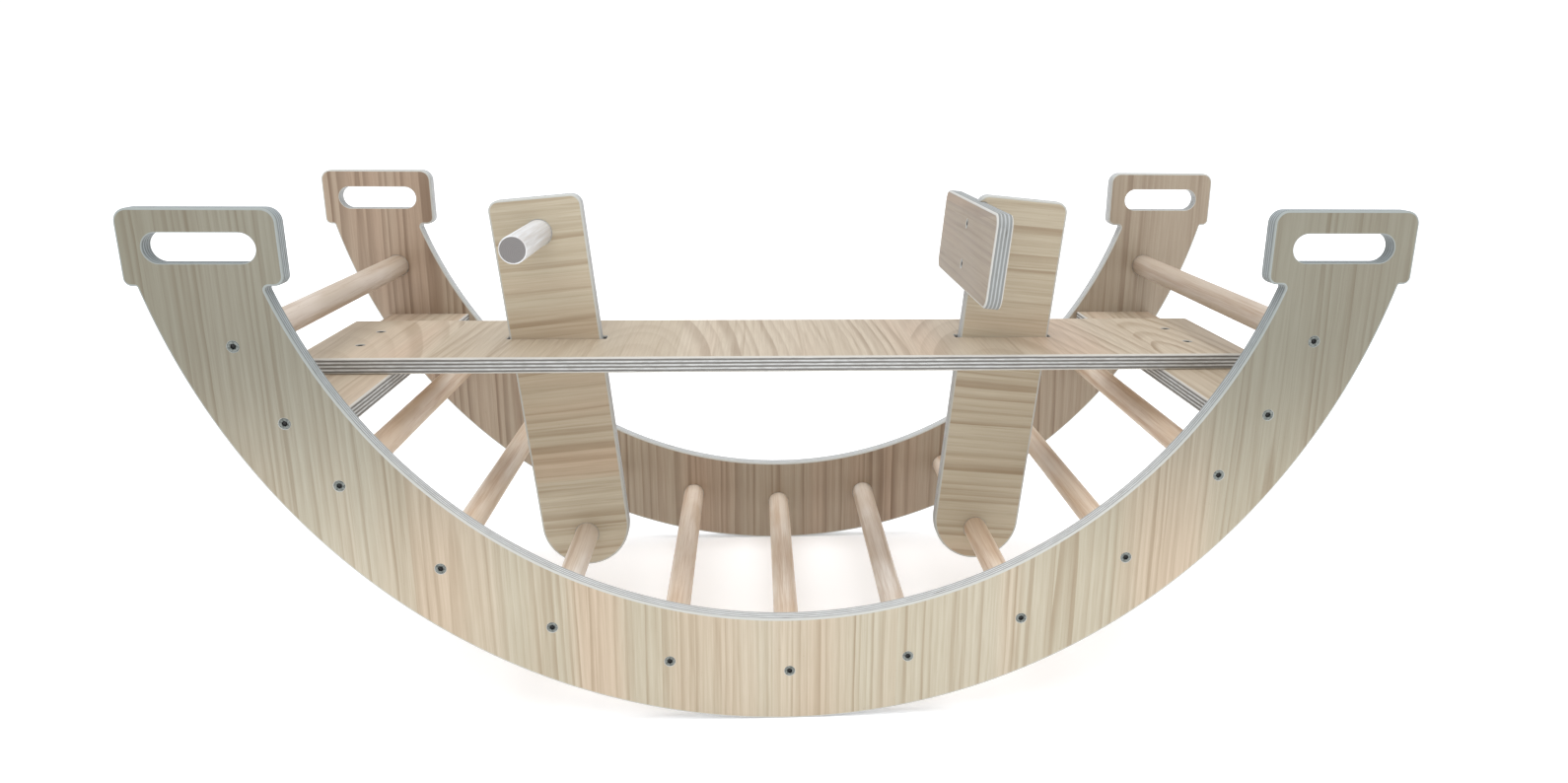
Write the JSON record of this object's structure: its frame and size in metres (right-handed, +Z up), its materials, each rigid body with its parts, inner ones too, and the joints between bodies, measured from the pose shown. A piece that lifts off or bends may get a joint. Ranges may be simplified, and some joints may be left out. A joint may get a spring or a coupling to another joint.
{
  "type": "rocker seesaw",
  "caption": "Child's wooden rocker seesaw: curved plywood side panels joined by dowel rungs, with a seat board, a handle post and a backrest post.",
  "frame": {"origin": "on the floor under the middle of the rocker, centred across its width", "axes": "+X along the length towards the backrest end, +Y from the front side panel to the rear one, +Z up"},
  "size_m": [1.1556, 0.508, 0.508],
  "materials": {
    "panel_ply": "matt clear-sealed pine-faced plywood",
    "seat_ply": "matt clear-sealed pine-faced plywood",
    "ledge_ply": "matt clear-sealed pine-faced plywood",
    "post_ply": "matt clear-sealed pine-faced plywood",
    "plate_ply": "matt clear-sealed pine-faced plywood",
    "rung_dowel": "matt clear-sealed turned hardwood",
    "bar_dowel": "matt clear-sealed turned hardwood",
    "zinc_screw": "bright zinc plate"
  },
  "bodies": {
    "root": {"side_panel_front": "panel_ply", "side_panel_rear": "panel_ply", "rung_1": "rung_dowel", "rung_2": "rung_dowel", "rung_3": "rung_dowel", "rung_4": "rung_dowel", "rung_5": "rung_dowel", "rung_6": "rung_dowel", "rung_7": "rung_dowel", "rung_8": "rung_dowel", "rung_9": "rung_dowel", "rung_10": "rung_dowel", "rung_11": "rung_dowel", "ledge_left": "ledge_ply", "ledge_right": "ledge_ply", "seat_board": "seat_ply", "handle_post": "post_ply", "handle_bar": "bar_dowel", "backrest_post": "post_ply", "backrest_plate": "plate_ply", "rung_screws_front": "zinc_screw", "rung_screws_rear": "zinc_screw", "ledge_screws_front": "zinc_screw", "ledge_screws_rear": "zinc_screw", "seat_screws_left": "zinc_screw", "seat_screws_right": "zinc_screw", "backrest_screws": "zinc_screw"}
  },
  "joints": []
}
